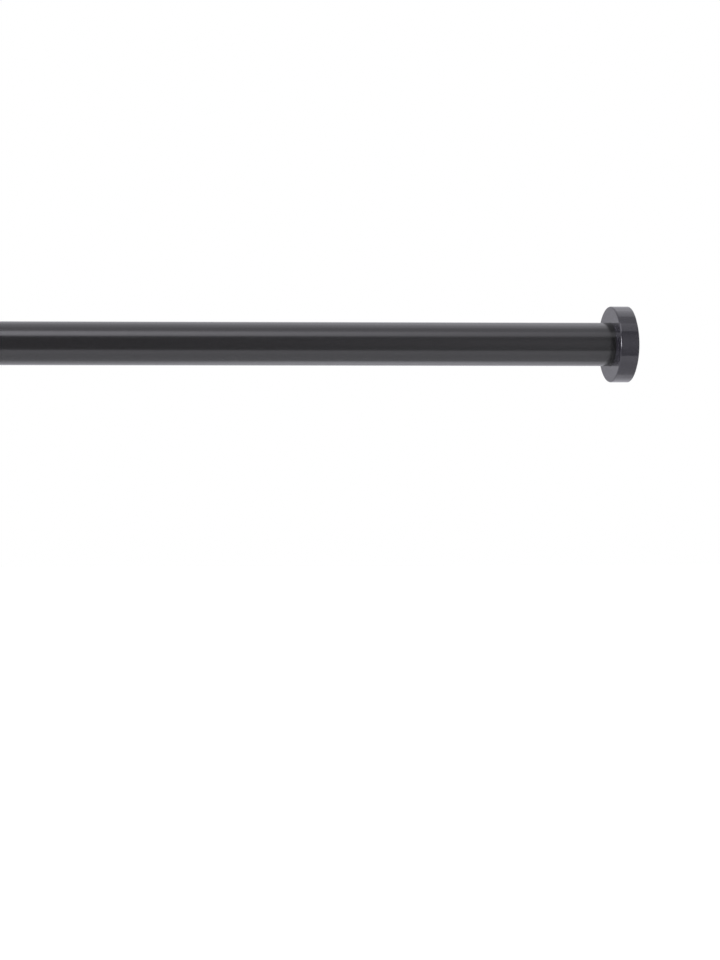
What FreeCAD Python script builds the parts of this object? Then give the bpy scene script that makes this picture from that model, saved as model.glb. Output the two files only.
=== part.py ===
import FreeCAD, Part
import os

import Sketcher

# Telescopic curtain rod held between two walls by a spring, millimetres.
# X is the rod's axis. The origin is the centre of the right-hand wall pad's face, the rod runs to
# -X from there, and +Z is up.

doc = FreeCAD.newDocument("SpringTensionRod")
sizes = doc.addObject("Spreadsheet::Sheet", "Sizes")

driving_dimensions = {
    # tubes
    "outer_od": 28.0,
    "outer_wall": 1.0,
    "outer_length": 660.0,
    "inner_wall": 1.0,
    "tube_gap": 0.5,
    "tube_deburr": 0.25,
    # rest position: bare inner tube on show, and the free run left for closing the rod
    "drawn_out": 140.0,
    "closing_run": 100.0,
    # end caps
    "flange_dia": 49.0,
    "flange_thickness": 12.2,
    "face_round": 0.8,
    "back_round": 0.4,
    "rim_wall": 2.4,
    "plate_thickness": 3.0,
    "boss_wall": 3.0,
    "seat_depth": 4.0,
    "plug_length": 24.0,
    "plug_wall": 2.0,
    "plug_gap": 0.3,
    "plug_lead": 1.0,
    "crush_rib_width": 1.2,
    "crush_rib_count": 6,
    "web_thickness": 1.6,
    "web_count": 6,
    # wall pads
    "pad_proud": 1.0,
    "pad_inset": 2.0,
    "pad_round": 0.3,
    "pad_land": 4.0,
    "pad_groove_count": 4,
    "pad_groove_width": 1.4,
    "pad_groove_depth": 0.6,
    # collar on the mouth of the outer tube
    "collar_length": 14.0,
    "collar_wall": 1.4,
    "collar_lip": 2.5,
    "collar_round": 0.8,
    "collar_lead": 0.5,
    # clearances
    "press_gap": 0.05,
    "run_gap": 0.1,
    "hex_gap": 0.1,
    "stop_gap": 0.1,
    # plugs held in the inner tube by rolled beads
    "bead_width": 3.0,
    "bead_depth": 0.8,
    "bead_gap": 0.15,
    "guide_length": 24.0,
    "guide_lip": 3.0,
    "anchor_length": 16.0,
    "anchor_core": 6.0,
    "anchor_floor": 4.0,
    # spring and its follower
    "wire_dia": 1.8,
    "coil_gap": 0.9,
    "active_turns": 7,
    "spring_length": 88.0,
    "stroke": 30.0,
    "stroke_spare": 2.0,
    "follower_thickness": 4.0,
    "follower_gap": 0.5,
    "pilot_length": 8.0,
    "pilot_gap": 0.6,
    "journal_dia": 5.0,
    "clip_thickness": 0.8,
    "clip_width": 2.2,
    "clip_groove": 0.5,
    "clip_opening": 3.0,
    "journal_end": 1.6,
    # spindle
    "hex_flats": 8.0,
    "shoulder_dia": 18.0,
    "shoulder_thickness": 4.0,
    "thread_dia": 8.0,
    "thread_gap": 0.15,
    "tip_chamfer": 1.0,
    "tip_proud": 1.5,
    "washer_thickness": 0.95,
    "washer_gap": 0.05,
    # expander
    "sleeve_length": 36.0,
    "sleeve_root": 10.0,
    "finger_wall": 2.2,
    "slot_width": 2.4,
    "slot_count": 4,
    "slot_bridge": 8.0,
    "grip_count": 4,
    "grip_pitch": 5.0,
    "grip_width": 1.4,
    "grip_depth": 0.5,
    "ring_wire": 2.0,
    "ring_place": 4.0,
    "ring_gap": 0.05,
    "cone_length": 22.0,
    "cone_head": 4.0,
    "cone_gap": 0.1,
    "cone_travel": 2.5,
    "key_gap": 0.3,
    "key_inset": 1.0,
    "key_length": 16.0,
    "nut_flats": 13.0,
    "nut_thickness": 5.0,
    "nut_play": 0.5,
}

for row, (alias, number) in enumerate(driving_dimensions.items(), start=1):
    sizes.set(f"A{row}", alias)
    sizes.set(f"B{row}", str(number))
    sizes.setAlias(f"B{row}", alias)
doc.recompute()


def size(alias):
    return f"Sizes.{alias}"


def value(expression):
    return float(sizes.evalExpression(expression))


# Diameters and radii that follow from the driving dimensions, as expressions on the sheet

outer_radius = "(Sizes.outer_od / 2)"
bore_radius = f"({outer_radius} - Sizes.outer_wall)"
inner_radius = f"({bore_radius} - Sizes.tube_gap)"
spring_bore = f"({inner_radius} - Sizes.inner_wall)"
flange_radius = "(Sizes.flange_dia / 2)"
rim_radius = f"({flange_radius} - Sizes.rim_wall)"
glide_radius = f"({bore_radius} - Sizes.run_gap)"
plug_radius = f"({spring_bore} - Sizes.press_gap)"
coil_radius = f"({spring_bore} - Sizes.coil_gap - Sizes.wire_dia / 2)"
pilot_radius = f"({coil_radius} - Sizes.wire_dia / 2 - Sizes.pilot_gap)"
journal_radius = "(Sizes.journal_dia / 2)"
clip_seat_radius = f"({journal_radius} - Sizes.clip_groove)"
thread_radius = "(Sizes.thread_dia / 2)"
clear_radius = f"({thread_radius} + Sizes.thread_gap)"

# Stations along the rod's axis, from the right-hand wall leftwards

cap_depth = "(Sizes.pad_proud + Sizes.flange_thickness)"
outer_face = f"(-{cap_depth})"
outer_start = f"({outer_face} + Sizes.seat_depth)"
mouth = f"({outer_start} - Sizes.outer_length)"
lip_face = f"({mouth} - Sizes.collar_lip)"
inner_face = f"({lip_face} - Sizes.drawn_out)"
inner_wall_face = f"({inner_face} - {cap_depth})"
inner_end = f"({inner_face} - Sizes.seat_depth)"
spindle_tip = f"({outer_face} - Sizes.plug_length - Sizes.closing_run)"
nut_face = f"({spindle_tip} - Sizes.tip_proud - Sizes.nut_thickness)"
cone_end = f"({nut_face} - Sizes.nut_play - Sizes.cone_travel)"
sleeve_end = f"({cone_end} - Sizes.cone_head)"
sleeve_start = f"({sleeve_end} - Sizes.sleeve_length)"
washer_start = f"({sleeve_start} - Sizes.washer_gap - Sizes.washer_thickness)"
shoulder_start = f"({washer_start} - Sizes.shoulder_thickness)"
guide_face = f"({shoulder_start} - Sizes.stroke - Sizes.stroke_spare)"
inner_start = f"({guide_face} - Sizes.guide_lip)"
guide_back = f"({inner_start} - Sizes.guide_length)"
follower_face = f"({guide_back} - Sizes.stop_gap)"
spring_start = f"({follower_face} - Sizes.follower_thickness)"
spring_end = f"({spring_start} - Sizes.spring_length)"
guide_bead = f"({inner_start} - Sizes.guide_length / 2)"
anchor_bead = f"({spring_end} - Sizes.anchor_length / 2)"


# Sketches and features


def origin_feature(body, role):
    for feature in body.Origin.OriginFeatures:
        if feature.Role == role:
            return feature
    raise ValueError(role)


def new_body(label):
    body = doc.addObject("PartDesign::Body", label)
    body.Label = label
    return body


def place(part, station):
    part.setExpression("Placement.Base.x", station)


def new_sketch(body, name, role, station=None):
    sketch = body.newObject("Sketcher::SketchObject", f"{body.Label}_{name}")
    sketch.AttachmentSupport = [(origin_feature(body, role), "")]
    sketch.MapMode = "FlatFace"
    if station is not None:
        sketch.setExpression("AttachmentOffset.Base.z", station)
    return sketch


def hold(sketch, kind, geometry, expression):
    # one dimension bound to the sheet
    index = sketch.addConstraint(Sketcher.Constraint(kind, *geometry, value(expression)))
    sketch.setExpression(f"Constraints[{index}]", expression)


def outline(body, name, role, corners, station=None):
    # closed outline; a corner's third entry bows the edge that follows it by that much
    sketch = new_sketch(body, name, role, station)
    points = [FreeCAD.Vector(value(corner[0]), value(corner[1]), 0) for corner in corners]
    ends = []
    for index, corner in enumerate(corners):
        start = points[index]
        end = points[(index + 1) % len(points)]
        if len(corner) == 2:
            sketch.addGeometry(Part.LineSegment(start, end))
            ends.append((1, 2))
            continue
        along = (end - start).normalize()
        bow = value(corner[2])
        middle = (start + end) * 0.5 + FreeCAD.Vector(-along.y, along.x, 0) * bow
        if bow < 0:
            sketch.addGeometry(Part.Arc(start, middle, end))
            ends.append((1, 2))
        else:
            sketch.addGeometry(Part.Arc(end, middle, start))
            ends.append((2, 1))
    for index, corner in enumerate(corners):
        following = (index + 1) % len(corners)
        joined = (index, ends[index][1], following, ends[following][0])
        sketch.addConstraint(Sketcher.Constraint("Coincident", *joined))
    for index, corner in enumerate(corners):
        spot = (-1, 1, index, ends[index][0])
        hold(sketch, "DistanceX", spot, corner[0])
        hold(sketch, "DistanceY", spot, corner[1])
        if len(corner) == 3:
            chord = f"({corners[(index + 1) % len(corners)][0]} - {corner[0]})"
            bend = f"(({chord} ^ 2 / 4 + {corner[2]} ^ 2) / (2 * abs({corner[2]})))"
            hold(sketch, "Radius", (index,), bend)
    return sketch


def rings(body, name, radii, station=None):
    # concentric circles about the rod's axis
    sketch = new_sketch(body, name, "YZ_Plane", station)
    for index, radius in enumerate(radii):
        centre = FreeCAD.Vector(0, 0, 0)
        sketch.addGeometry(Part.Circle(centre, FreeCAD.Vector(0, 0, 1), value(radius)))
        sketch.addConstraint(Sketcher.Constraint("Coincident", index, 3, -1, 1))
        hold(sketch, "Radius", (index,), radius)
    return sketch


def block(body, name, half_width, low, high, station):
    # upright rectangle across the axis, from one radius to another
    corners = [
        (f"(-{half_width})", low),
        (half_width, low),
        (half_width, high),
        (f"(-{half_width})", high),
    ]
    return outline(body, name, "YZ_Plane", corners, station)


def hexagon(body, name, flats, station=None):
    side = f"({flats} / 2)"
    corner = f"({flats} / sqrt(3))"
    shoulder = f"({corner} / 2)"
    corners = [
        ("0", corner),
        (f"(-{side})", shoulder),
        (f"(-{side})", f"(-{shoulder})"),
        ("0", f"(-{corner})"),
        (side, f"(-{shoulder})"),
        (side, shoulder),
    ]
    return outline(body, name, "YZ_Plane", corners, station)


def revolve(body, sketch):
    turned = body.newObject("PartDesign::Revolution", f"{sketch.Label}_turned")
    turned.Profile = sketch
    turned.ReferenceAxis = (sketch, ["H_Axis"])
    turned.Angle = 360
    doc.recompute()
    return turned


def pad(body, sketch, length):
    raised = body.newObject("PartDesign::Pad", f"{sketch.Label}_pad")
    raised.Profile = sketch
    raised.setExpression("Length", length)
    doc.recompute()
    return raised


def pocket(body, sketch, length):
    # cuts from the sketch towards -X, and checks that it removes something
    before = body.Shape.Volume
    cut = body.newObject("PartDesign::Pocket", f"{sketch.Label}_pocket")
    cut.Profile = sketch
    cut.setExpression("Length", length)
    doc.recompute()
    if body.Shape.Volume >= before:
        raise ValueError(f"{cut.Label} cuts nothing")
    return cut


def polar(body, feature, count):
    pattern = body.newObject("PartDesign::PolarPattern", f"{feature.Label}_pattern")
    pattern.Originals = [feature]
    pattern.Axis = (origin_feature(body, "X_Axis"), [""])
    pattern.Angle = 360
    pattern.setExpression("Occurrences", count)
    body.Tip = pattern
    doc.recompute()
    return pattern


def ring_edges(feature, spots):
    # names of the round edges about the axis at each (station, radius)
    names = []
    for number, edge in enumerate(feature.Shape.Edges, start=1):
        if edge.Curve.TypeId != "Part::GeomCircle":
            continue
        for station, radius in spots:
            near = abs(edge.Curve.Center.x - value(station)) < 1e-4
            if near and abs(edge.Curve.Radius - value(radius)) < 1e-4:
                names.append(f"Edge{number}")
    return names


def fillet(body, feature, spots, radius):
    rounded = body.newObject("PartDesign::Fillet", f"{feature.Label}_round")
    rounded.Base = (feature, ring_edges(feature, spots))
    rounded.setExpression("Radius", radius)
    doc.recompute()
    return rounded


def chamfer(body, feature, spots, width):
    bevelled = body.newObject("PartDesign::Chamfer", f"{feature.Label}_bevel")
    bevelled.Base = (feature, ring_edges(feature, spots))
    bevelled.setExpression("Size", width)
    doc.recompute()
    return bevelled


# End caps: a cored disc with a socket for the tube's end and a hollow plug inside the tube


def end_cap(label, tube_radius, tube_bore):
    # built with the wall at x = 0 and the tube towards -X
    body = new_body(label)
    back = f"(-{size('pad_proud')})"
    shelf = f"({back} - Sizes.pad_inset)"
    plate_back = f"({outer_face} + Sizes.plate_thickness)"
    socket = f"({outer_face} + Sizes.seat_depth)"
    plug_end = f"({outer_face} - Sizes.plug_length)"
    socket_radius = f"({tube_radius} + Sizes.press_gap)"
    boss_radius = f"({socket_radius} + Sizes.boss_wall)"
    plug_outside = f"({tube_bore} - Sizes.plug_gap)"
    plug_inside = f"({plug_outside} - Sizes.plug_wall)"
    section = [
        (back, rim_radius),
        (shelf, rim_radius),
        (plate_back, rim_radius),
        (plate_back, boss_radius),
        (shelf, boss_radius),
        (shelf, plug_inside),
        (plug_end, plug_inside),
        (plug_end, plug_outside),
        (socket, plug_outside),
        (socket, socket_radius),
        (outer_face, socket_radius),
        (outer_face, flange_radius),
        (back, flange_radius),
    ]
    turned = revolve(body, outline(body, "section", "XZ_Plane", section))
    rounded = fillet(body, turned, [(outer_face, flange_radius)], size("face_round"))
    rounded = fillet(body, rounded, [(back, flange_radius)], size("back_round"))
    chamfer(body, rounded, [(plug_end, plug_outside)], size("plug_lead"))
    # webs from the boss to the rim carry the pad
    half_web = "(Sizes.web_thickness / 2)"
    root = f"({boss_radius} - Sizes.boss_wall / 2)"
    reach = f"({rim_radius} + Sizes.rim_wall / 2)"
    web_sketch = block(body, "web", half_web, root, reach, plate_back)
    web = pad(body, web_sketch, f"({shelf} - {plate_back})")
    polar(body, web, size("web_count"))
    # crush ribs centre the plug in the tube
    half_rib = "(Sizes.crush_rib_width / 2)"
    rib_low = f"({plug_outside} - Sizes.plug_wall / 2)"
    rib_high = f"({tube_bore} - Sizes.press_gap)"
    rib_start = f"({plug_end} + 2 * Sizes.plug_lead)"
    rib_sketch = block(body, "crush_rib", half_rib, rib_low, rib_high, rib_start)
    rib = pad(body, rib_sketch, f"({socket} - {rib_start})")
    polar(body, rib, size("crush_rib_count"))
    return body


# Wall pads: a rubber disc that stands proud of the cap's recess, with ring grooves in its wall face


def wall_pad(label):
    body = new_body(label)
    pad_radius = f"({rim_radius} - Sizes.press_gap)"
    back = f"(-({size('pad_proud')} + Sizes.pad_inset))"
    floor = f"(-{size('pad_groove_depth')})"
    section = [
        (back, "0"),
        ("0", "0"),
    ]
    pitch = f"(({pad_radius} - 2 * Sizes.pad_land) / Sizes.pad_groove_count)"
    for number in range(int(value(size("pad_groove_count")))):
        low = f"(Sizes.pad_land + {number} * {pitch} + ({pitch} - Sizes.pad_groove_width) / 2)"
        high = f"({low} + Sizes.pad_groove_width)"
        section += [("0", low), (floor, low), (floor, high), ("0", high)]
    section += [
        ("0", pad_radius),
        (back, pad_radius),
    ]
    turned = revolve(body, outline(body, "section", "XZ_Plane", section))
    fillet(body, turned, [("0", pad_radius)], size("pad_round"))
    return body


# Tubes


def outer_tube():
    body = new_body("outer_tube")
    sketch = rings(body, "section", [outer_radius, bore_radius])
    drawn = pad(body, sketch, size("outer_length"))
    ends = [("0", outer_radius), (size("outer_length"), outer_radius)]
    chamfer(body, drawn, ends, size("tube_deburr"))
    place(body, mouth)
    return body


def inner_tube():
    # plain tube with two rolled beads that grip the plugs inside it
    body = new_body("inner_tube")
    outside = [(inner_end, inner_radius)]
    inside = [(inner_start, spring_bore)]
    for bead in (anchor_bead, guide_bead):
        left = f"({bead} - Sizes.bead_width / 2)"
        right = f"({bead} + Sizes.bead_width / 2)"
        outside += [(left, inner_radius, f"(-{size('bead_depth')})"), (right, inner_radius)]
    for bead in (guide_bead, anchor_bead):
        left = f"({bead} - Sizes.bead_width / 2)"
        right = f"({bead} + Sizes.bead_width / 2)"
        inside += [(right, spring_bore, size("bead_depth")), (left, spring_bore)]
    section = outside + [(inner_start, inner_radius)] + inside + [(inner_end, spring_bore)]
    turned = revolve(body, outline(body, "section", "XZ_Plane", section))
    ends = [(inner_start, inner_radius), (inner_end, inner_radius)]
    chamfer(body, turned, ends, size("tube_deburr"))
    return body


def mouth_collar():
    # sleeve over the cut end of the outer tube, with a lip that guides the inner tube
    body = new_body("mouth_collar")
    sleeve_bore = f"({outer_radius} + Sizes.press_gap)"
    outside = f"({sleeve_bore} + Sizes.collar_wall)"
    lip_bore = f"({inner_radius} + Sizes.run_gap)"
    left = f"(-{size('collar_lip')})"
    section = [
        (left, lip_bore),
        ("0", lip_bore),
        ("0", sleeve_bore),
        (size("collar_length"), sleeve_bore),
        (size("collar_length"), outside),
        (left, outside),
    ]
    turned = revolve(body, outline(body, "section", "XZ_Plane", section))
    corners = [(left, outside), (size("collar_length"), outside)]
    rounded = fillet(body, turned, corners, size("collar_round"))
    chamfer(body, rounded, [(left, lip_bore)], size("collar_lead"))
    place(body, mouth)
    return body


# Plugs in the inner tube


def bead_groove(bead):
    # corners of the groove that takes the tube's rolled bead, from left to right
    half = "(Sizes.bead_width / 2 + Sizes.bead_gap)"
    floor = f"({plug_radius} - Sizes.bead_depth - Sizes.bead_gap)"
    left = f"({bead} - {half})"
    right = f"({bead} + {half})"
    return [(left, plug_radius), (left, floor), (right, floor), (right, plug_radius)]


def guide_plug():
    # bush with a hexagon hole, and a lip that glides in the outer tube
    body = new_body("guide_plug")
    length = size("guide_length")
    section = [(f"(-{length})", "0"), (f"(-{length})", plug_radius)]
    section += bead_groove(f"(-{length} / 2)")
    section += [
        ("0", plug_radius),
        ("0", glide_radius),
        (size("guide_lip"), glide_radius),
        (size("guide_lip"), "0"),
    ]
    revolve(body, outline(body, "section", "XZ_Plane", section[::-1]))
    hole = hexagon(body, "hole", "(Sizes.hex_flats + 2 * Sizes.hex_gap)", size("guide_lip"))
    pocket(body, hole, f"({length} + Sizes.guide_lip)")
    place(body, inner_start)
    return body


def spring_anchor():
    # cored plug with a pilot that centres the spring
    body = new_body("spring_anchor")
    length = size("anchor_length")
    floor = f"(-{size('anchor_floor')})"
    section = [
        (f"(-{length})", size("anchor_core")),
        (f"(-{length})", plug_radius),
    ]
    section += bead_groove(f"(-{length} / 2)")
    section += [
        ("0", plug_radius),
        ("0", pilot_radius),
        (size("pilot_length"), pilot_radius),
        (size("pilot_length"), "0"),
        (floor, "0"),
        (floor, size("anchor_core")),
    ]
    turned = revolve(body, outline(body, "section", "XZ_Plane", section[::-1]))
    chamfer(body, turned, [(size("pilot_length"), pilot_radius)], size("plug_lead"))
    place(body, spring_end)
    return body


# Spring: half turns tilted in turn, each a half torus, with one closed turn ground flat at each end


def tension_spring():
    wire = value(size("wire_dia"))
    radius = value(coil_radius)
    length = value(size("spring_length"))
    closed_rise = (wire + value(size("press_gap"))) / 2
    active_halves = 2 * int(value(size("active_turns")))
    active_rise = (length - 4 * closed_rise) / active_halves
    rises = [closed_rise] * 2 + [active_rise] * active_halves + [closed_rise] * 2
    halves = []
    along = 0.0
    side = 1
    for rise in rises:
        start = FreeCAD.Vector(along, 0, -side * radius)
        end = FreeCAD.Vector(along + rise, 0, side * radius)
        across = FreeCAD.Vector(0, side, 0)
        axis = across.cross((end - start).normalize())
        section = Part.Face(Part.Wire(Part.Circle(start, FreeCAD.Vector(0, 1, 0), wire / 2).toShape()))
        halves.append(section.revolve((start + end) * 0.5, axis, 180))
        along += rise
        side = -side
    coil = halves[0].multiFuse(halves[1:])
    stock = Part.makeCylinder(radius + 2 * wire, length, FreeCAD.Vector(0, 0, 0), FreeCAD.Vector(1, 0, 0))
    spring = doc.addObject("Part::Feature", "tension_spring")
    spring.Label = "tension_spring"
    spring.Shape = coil.common(stock).Solids[0]
    place(spring, spring_end)
    return spring


def spring_follower():
    # flange that the spring pushes, with a pilot inside the coils
    body = new_body("spring_follower")
    bore = f"({journal_radius} + Sizes.hex_gap)"
    rim = f"({spring_bore} - Sizes.follower_gap)"
    flange = f"(-{size('follower_thickness')})"
    pilot = f"({flange} - Sizes.pilot_length)"
    section = [
        (pilot, bore),
        ("0", bore),
        ("0", rim),
        (flange, rim),
        (flange, pilot_radius),
        (pilot, pilot_radius),
    ]
    turned = revolve(body, outline(body, "section", "XZ_Plane", section))
    chamfer(body, turned, [(pilot, pilot_radius)], size("plug_lead"))
    place(body, follower_face)
    return body


# Spindle and what is fixed to it

journal_length = (
    "(Sizes.follower_thickness + Sizes.pilot_length + Sizes.clip_thickness"
    " + 2 * Sizes.press_gap + Sizes.journal_end)"
)


def lock_spindle():
    # hexagon plunger with a turned journal at the left and a threaded end at the right
    body = new_body("lock_spindle")
    hex_length = f"({shoulder_start} - {follower_face})"
    step = f"(-{hex_length})"
    journal_tip = f"({step} - {journal_length})"
    seat_left = f"({journal_tip} + Sizes.journal_end)"
    seat_right = f"({seat_left} + Sizes.clip_thickness + 2 * Sizes.press_gap)"
    tip = f"({spindle_tip} - {shoulder_start})"
    shoulder_radius = "(Sizes.shoulder_dia / 2)"
    section = [
        (journal_tip, "0"),
        (tip, "0"),
        (tip, f"({thread_radius} - Sizes.tip_chamfer)"),
        (f"({tip} - Sizes.tip_chamfer)", thread_radius),
        (size("shoulder_thickness"), thread_radius),
        (size("shoulder_thickness"), shoulder_radius),
        ("0", shoulder_radius),
        ("0", journal_radius),
        (seat_right, journal_radius),
        (seat_right, clip_seat_radius),
        (seat_left, clip_seat_radius),
        (seat_left, journal_radius),
        (journal_tip, journal_radius),
    ]
    revolve(body, outline(body, "section", "XZ_Plane", section))
    shank = hexagon(body, "shank", size("hex_flats"), step)
    pad(body, shank, hex_length)
    place(body, shoulder_start)
    return body


def follower_clip():
    # open retaining ring in the journal's groove
    body = new_body("follower_clip")
    inside = f"({clip_seat_radius} + Sizes.press_gap)"
    outside = f"({journal_radius} + Sizes.clip_width)"
    ring = rings(body, "ring", [outside, inside])
    pad(body, ring, size("clip_thickness"))
    half_opening = "(Sizes.clip_opening / 2)"
    mouth_sketch = block(body, "opening", half_opening, "0", f"({outside} + 1)", size("clip_thickness"))
    pocket(body, mouth_sketch, size("clip_thickness"))
    behind = "(Sizes.follower_thickness + Sizes.pilot_length + Sizes.clip_thickness + Sizes.press_gap)"
    place(body, f"({follower_face} - {behind})")
    return body


def thrust_washer():
    body = new_body("thrust_washer")
    sketch = rings(body, "ring", ["(Sizes.shoulder_dia / 2)", clear_radius])
    pad(body, sketch, size("washer_thickness"))
    place(body, washer_start)
    return body


def stop_nut():
    body = new_body("stop_nut")
    pad(body, hexagon(body, "hexagon", size("nut_flats")), size("nut_thickness"))
    bore = f"({thread_radius} + Sizes.press_gap)"
    pocket(body, rings(body, "bore", [bore], size("nut_thickness")), size("nut_thickness"))
    place(body, nut_face)
    return body


# Expander: a slotted sleeve that a cone spreads against the outer tube

mouth_radius = f"({glide_radius} - Sizes.finger_wall)"
taper = f"(({mouth_radius} - {clear_radius}) / (Sizes.sleeve_length - Sizes.sleeve_root))"


def expander_sleeve():
    body = new_body("expander_sleeve")
    length = size("sleeve_length")
    ring_half = "(Sizes.ring_wire / 2 + Sizes.ring_gap)"
    ring_floor = f"({bore_radius} - Sizes.ring_wire - 2 * Sizes.ring_gap)"
    section = [
        ("0", clear_radius),
        ("0", glide_radius),
        (f"(Sizes.ring_place - {ring_half})", glide_radius),
        (f"(Sizes.ring_place - {ring_half})", ring_floor),
        (f"(Sizes.ring_place + {ring_half})", ring_floor),
        (f"(Sizes.ring_place + {ring_half})", glide_radius),
    ]
    grip_floor = f"({glide_radius} - Sizes.grip_depth)"
    grip_count = int(value(size("grip_count")))
    for number in reversed(range(grip_count)):
        right = f"({length} - {number + 1} * Sizes.grip_pitch + Sizes.grip_width)"
        left = f"({right} - Sizes.grip_width)"
        section += [(left, glide_radius), (left, grip_floor), (right, grip_floor), (right, glide_radius)]
    section += [
        (length, glide_radius),
        (length, mouth_radius),
        (size("sleeve_root"), clear_radius),
    ]
    revolve(body, outline(body, "section", "XZ_Plane", section[::-1]))
    over = f"({glide_radius} + Sizes.run_gap)"
    slot_sketch = block(body, "slot", "(Sizes.slot_width / 2)", "0", over, length)
    slot = pocket(body, slot_sketch, f"({length} - Sizes.slot_bridge)")
    polar(body, slot, size("slot_count"))
    place(body, sleeve_start)
    return body


def drag_ring():
    ring = doc.addObject("Part::Torus", "drag_ring")
    ring.Label = "drag_ring"
    ring.setExpression("Radius1", f"{bore_radius} - Sizes.ring_gap - Sizes.ring_wire / 2")
    ring.setExpression("Radius2", "Sizes.ring_wire / 2")
    ring.Placement.Rotation = FreeCAD.Rotation(FreeCAD.Vector(0, 1, 0), 90)
    place(ring, f"{sleeve_start} + Sizes.ring_place")
    return ring


def expander_cone():
    # cone nut whose keys ride in the sleeve's slots, drawn leftwards by the spindle's thread
    body = new_body("expander_cone")
    length = size("sleeve_length")
    right = f"({length} + Sizes.cone_head)"
    left = f"({right} - Sizes.cone_length)"
    small = f"({clear_radius} + {taper} * ({left} - Sizes.sleeve_root) - Sizes.cone_gap)"
    large = f"({mouth_radius} - Sizes.cone_gap)"
    section = [
        (left, clear_radius),
        (right, clear_radius),
        (right, large),
        (length, large),
        (left, small),
    ]
    revolve(body, outline(body, "section", "XZ_Plane", section))
    half_key = "(Sizes.slot_width / 2 - Sizes.key_gap)"
    low = f"(({clear_radius} + {small}) / 2)"
    high = f"({glide_radius} - Sizes.key_inset)"
    key_sketch = block(body, "key", half_key, low, high, f"({right} - Sizes.key_length)")
    key = pad(body, key_sketch, size("key_length"))
    polar(body, key, size("slot_count"))
    place(body, sleeve_start)
    return body


# Assembly

left_hand = FreeCAD.Rotation(FreeCAD.Vector(0, 0, 1), 180)
inner_cap = end_cap("inner_end_cap", inner_radius, spring_bore)
inner_pad = wall_pad("inner_wall_pad")
for mirrored in (inner_cap, inner_pad):
    mirrored.Placement = FreeCAD.Placement(FreeCAD.Vector(0, 0, 0), left_hand)
    place(mirrored, inner_wall_face)

pieces = [
    end_cap("outer_end_cap", outer_radius, bore_radius),
    wall_pad("outer_wall_pad"),
    outer_tube(),
    mouth_collar(),
    inner_tube(),
    inner_cap,
    inner_pad,
    guide_plug(),
    spring_anchor(),
    tension_spring(),
    spring_follower(),
    follower_clip(),
    lock_spindle(),
    thrust_washer(),
    expander_sleeve(),
    drag_ring(),
    expander_cone(),
    stop_nut(),
]
doc.recompute()

for item in doc.Objects:
    if "Invalid" in item.State or "Error" in item.State:
        raise ValueError(f"{item.Label} failed: {item.State}")
for piece in pieces:
    if piece.Shape.isNull() or not piece.Shape.isValid() or len(piece.Shape.Solids) != 1:
        raise ValueError(f"{piece.Label} is not one sound solid")

os.makedirs("parts", exist_ok=True)
for piece in pieces:
    piece.Shape.exportStep(f"parts/{piece.Label}.step")
    box = piece.Shape.BoundBox
    print(f"{piece.Label}: x {box.XMin:.2f} to {box.XMax:.2f}, {piece.Shape.Volume:.0f} mm3")
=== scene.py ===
import math

import bmesh
import bpy
from mathutils import Matrix, Vector


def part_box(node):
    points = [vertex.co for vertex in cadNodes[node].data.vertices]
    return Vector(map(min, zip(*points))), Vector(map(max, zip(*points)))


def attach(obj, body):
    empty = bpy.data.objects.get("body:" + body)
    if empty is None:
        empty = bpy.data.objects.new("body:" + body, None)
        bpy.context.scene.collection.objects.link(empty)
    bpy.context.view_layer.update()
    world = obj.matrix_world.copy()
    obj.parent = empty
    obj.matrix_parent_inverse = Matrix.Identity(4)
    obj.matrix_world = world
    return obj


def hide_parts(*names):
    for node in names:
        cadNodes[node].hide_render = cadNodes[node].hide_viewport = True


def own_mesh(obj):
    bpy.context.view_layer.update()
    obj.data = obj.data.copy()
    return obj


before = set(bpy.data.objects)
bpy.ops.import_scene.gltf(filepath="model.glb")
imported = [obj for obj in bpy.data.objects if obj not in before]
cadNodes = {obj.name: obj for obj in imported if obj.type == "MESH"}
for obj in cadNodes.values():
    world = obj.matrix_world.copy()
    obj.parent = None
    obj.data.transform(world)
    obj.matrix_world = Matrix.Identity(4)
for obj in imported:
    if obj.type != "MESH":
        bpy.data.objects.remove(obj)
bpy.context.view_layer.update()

mm = 0.001  # sizes below are in millimetres, Blender's are in metres
scene = bpy.context.scene


# small helpers for nodes and colours

def linearColour(hexText):
    channels = [int(hexText[i:i + 2], 16) / 255 for i in (1, 3, 5)]
    return tuple(c / 12.92 if c <= 0.04045 else ((c + 0.055) / 1.055) ** 2.4 for c in channels) + (1.0,)


def addNode(tree, kind, sockets=None, **settings):
    node = tree.nodes.new(kind)
    for name, setting in settings.items():
        setattr(node, name, setting)
    for key, source in (sockets or {}).items():
        if isinstance(source, bpy.types.NodeSocket):
            tree.links.new(source, node.inputs[key])
        else:
            node.inputs[key].default_value = source
    return node


def newFinish(name, constants):
    # constants go straight on the shader's own sockets
    finish = bpy.data.materials.new(name)
    finish.use_nodes = True
    tree = finish.node_tree
    tree.nodes.clear()
    shader = addNode(tree, "ShaderNodeBsdfPrincipled", constants)
    addNode(tree, "ShaderNodeOutputMaterial", {"Surface": shader.outputs["BSDF"]})
    place = addNode(tree, "ShaderNodeTexCoord").outputs["Object"]
    return finish, tree, shader, place


noiseSpan = (0.3, 0.7)  # noise seldom leaves this range


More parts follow.
